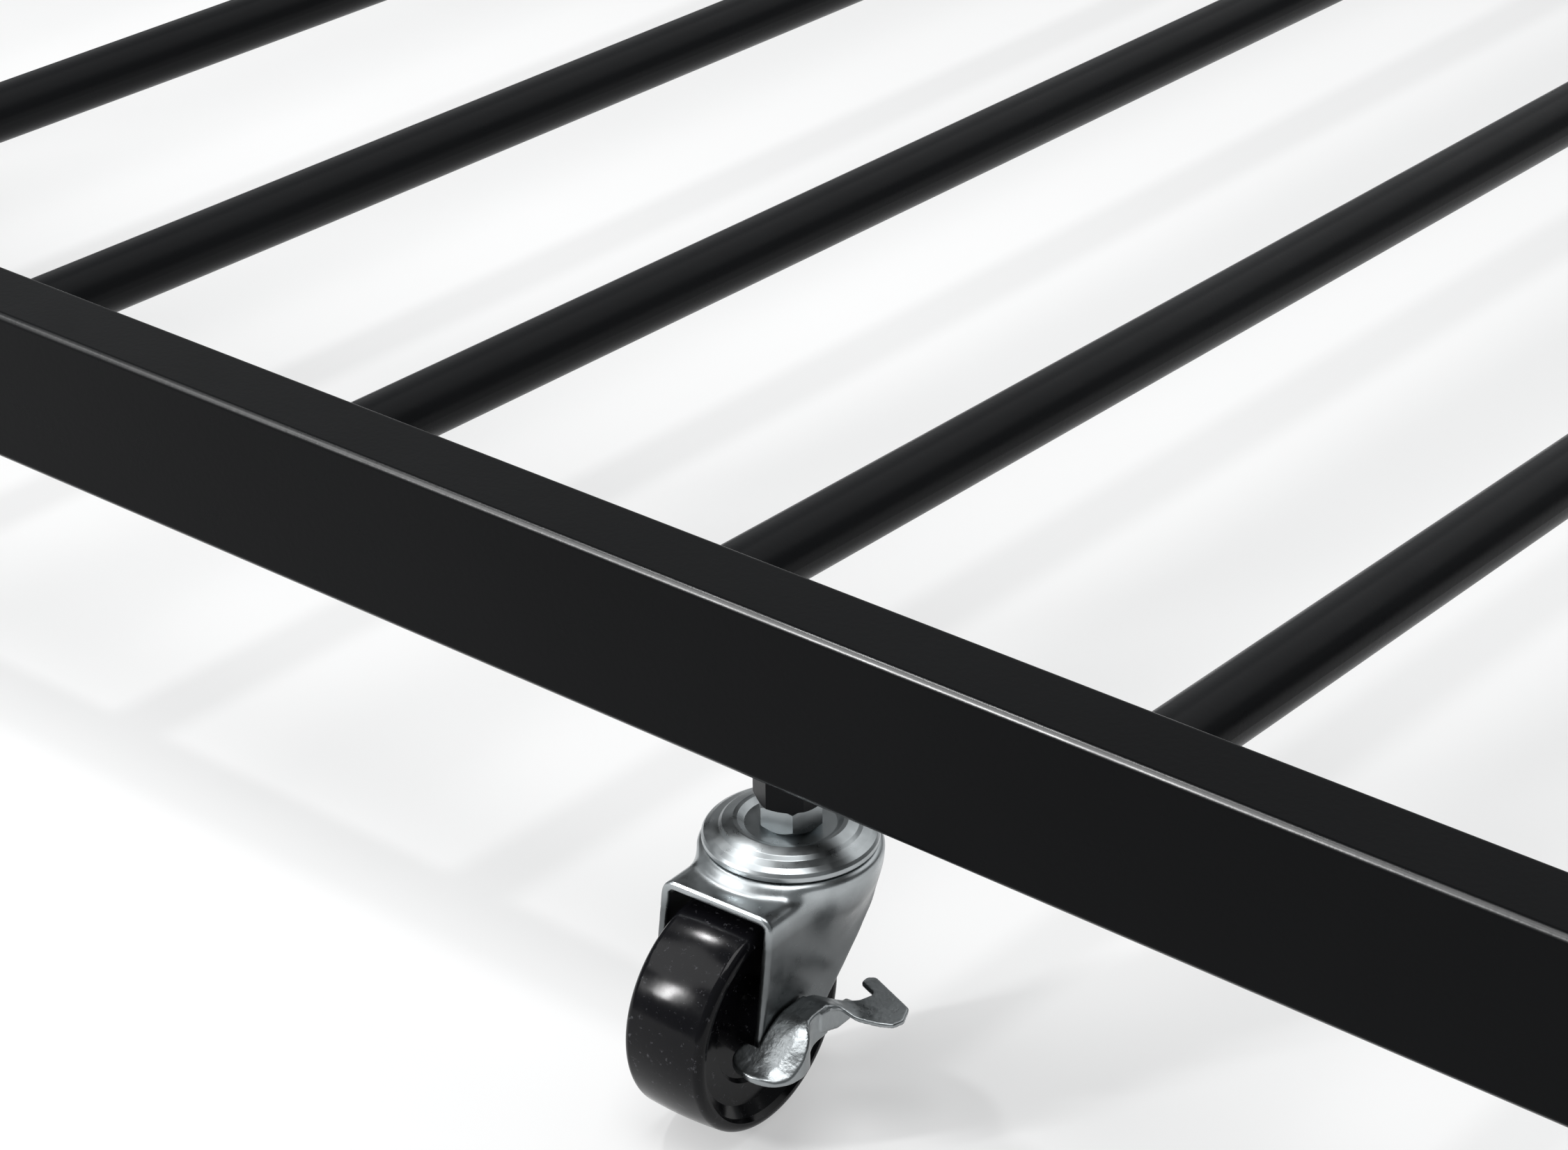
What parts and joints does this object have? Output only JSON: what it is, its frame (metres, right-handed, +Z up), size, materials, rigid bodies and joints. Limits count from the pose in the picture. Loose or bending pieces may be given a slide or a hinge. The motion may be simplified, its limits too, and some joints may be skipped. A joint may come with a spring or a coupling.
{
  "type": "trundle bed",
  "caption": "Low steel trundle bed frame of rectangular rails and round slats on swivel stem casters, with toe-operated brake levers along the front.",
  "frame": {"origin": "on the floor below the middle of the bed", "axes": "+X along the bed, -Y towards the front that is pulled, +Z up"},
  "size_m": [1.8844, 1.0368, 0.1145],
  "materials": {
    "frame_paint": "satin black powder coat",
    "black_bolt": "black oxide",
    "plain_steel": "plain",
    "plug_plastic": "matte",
    "wheel_plastic": "gloss",
    "ball_steel": "polished",
    "zinc_plate": "bright zinc plate"
  },
  "bodies": {
    "frame": {"corner_bolts": "black_bolt", "corner_plates": "plain_steel", "end_rail_left": "frame_paint", "end_rail_right": "frame_paint", "lower_races": "zinc_plate", "raceway_back_left": "zinc_plate", "raceway_back_right": "zinc_plate", "raceway_front_left": "zinc_plate", "raceway_front_right": "zinc_plate", "rail_caps": "plug_plastic", "side_rail_back": "frame_paint", "side_rail_front": "frame_paint", "slat_01": "frame_paint", "slat_02": "frame_paint", "slat_03": "frame_paint", "slat_04": "frame_paint", "slat_05": "frame_paint", "slat_06": "frame_paint", "slat_07": "frame_paint", "slat_08": "frame_paint", "slat_09": "frame_paint", "slat_10": "frame_paint", "slat_11": "frame_paint", "slat_12": "frame_paint", "slat_13": "frame_paint", "slat_14": "frame_paint", "slat_15": "frame_paint", "stem_back_left": "zinc_plate", "stem_back_right": "zinc_plate", "stem_front_left": "zinc_plate", "stem_front_right": "zinc_plate", "weld_nuts": "frame_paint"},
    "caster_front_left": {"fork_front_left": "zinc_plate", "swivel_balls_front_left": "ball_steel", "axle_sleeve_front_left": "plain_steel", "axle_bolt_front_left": "zinc_plate", "axle_nut_front_left": "zinc_plate"},
    "wheel_front_left": {"wheel_front_left": "wheel_plastic"},
    "brake_front_left": {"brake_lever_front_left": "zinc_plate"},
    "caster_front_right": {"fork_front_right": "zinc_plate", "swivel_balls_front_right": "ball_steel", "axle_sleeve_front_right": "plain_steel", "axle_bolt_front_right": "zinc_plate", "axle_nut_front_right": "zinc_plate"},
    "wheel_front_right": {"wheel_front_right": "wheel_plastic"},
    "brake_front_right": {"brake_lever_front_right": "zinc_plate"},
    "caster_back_left": {"fork_back_left": "zinc_plate", "swivel_balls_back_left": "ball_steel", "axle_sleeve_back_left": "plain_steel", "axle_bolt_back_left": "zinc_plate", "axle_nut_back_left": "zinc_plate"},
    "wheel_back_left": {"wheel_back_left": "wheel_plastic"},
    "caster_back_right": {"fork_back_right": "zinc_plate", "swivel_balls_back_right": "ball_steel", "axle_sleeve_back_right": "plain_steel", "axle_bolt_back_right": "zinc_plate", "axle_nut_back_right": "zinc_plate"},
    "wheel_back_right": {"wheel_back_right": "wheel_plastic"}
  },
  "joints": [
    {"name": "swivel_front_left", "type": "hinge", "parent": "frame", "child": "caster_front_left", "pos_m": [-0.7262, -0.4725, 0.0745], "axis": [0, 0, 1], "continuous": true},
    {"name": "roll_front_left", "type": "hinge", "parent": "caster_front_left", "child": "wheel_front_left", "pos_m": [-0.72511, -0.49327, 0.025], "axis": [0.9986, 0.0523, 0], "continuous": true},
    {"name": "brake_front_left", "type": "hinge", "parent": "caster_front_left", "child": "brake_front_left", "pos_m": [-0.72511, -0.49327, 0.025], "axis": [-0.9986, -0.0523, 0], "range_deg": [0, 20]},
    {"name": "swivel_front_right", "type": "hinge", "parent": "frame", "child": "caster_front_right", "pos_m": [0.7262, -0.4725, 0.0745], "axis": [0, 0, 1], "continuous": true},
    {"name": "roll_front_right", "type": "hinge", "parent": "caster_front_right", "child": "wheel_front_right", "pos_m": [0.72729, -0.49327, 0.025], "axis": [0.9986, 0.0523, 0], "continuous": true},
    {"name": "brake_front_right", "type": "hinge", "parent": "caster_front_right", "child": "brake_front_right", "pos_m": [0.72729, -0.49327, 0.025], "axis": [-0.9986, -0.0523, 0], "range_deg": [0, 20]},
    {"name": "swivel_back_left", "type": "hinge", "parent": "frame", "child": "caster_back_left", "pos_m": [-0.7262, 0.4725, 0.0745], "axis": [0, 0, 1], "continuous": true},
    {"name": "roll_back_left", "type": "hinge", "parent": "caster_back_left", "child": "wheel_back_left", "pos_m": [-0.72729, 0.49327, 0.025], "axis": [-0.9986, -0.0523, 0], "continuous": true},
    {"name": "swivel_back_right", "type": "hinge", "parent": "frame", "child": "caster_back_right", "pos_m": [0.7262, 0.4725, 0.0745], "axis": [0, 0, 1], "continuous": true},
    {"name": "roll_back_right", "type": "hinge", "parent": "caster_back_right", "child": "wheel_back_right", "pos_m": [0.72511, 0.49327, 0.025], "axis": [-0.9986, -0.0523, 0], "continuous": true}
  ]
}
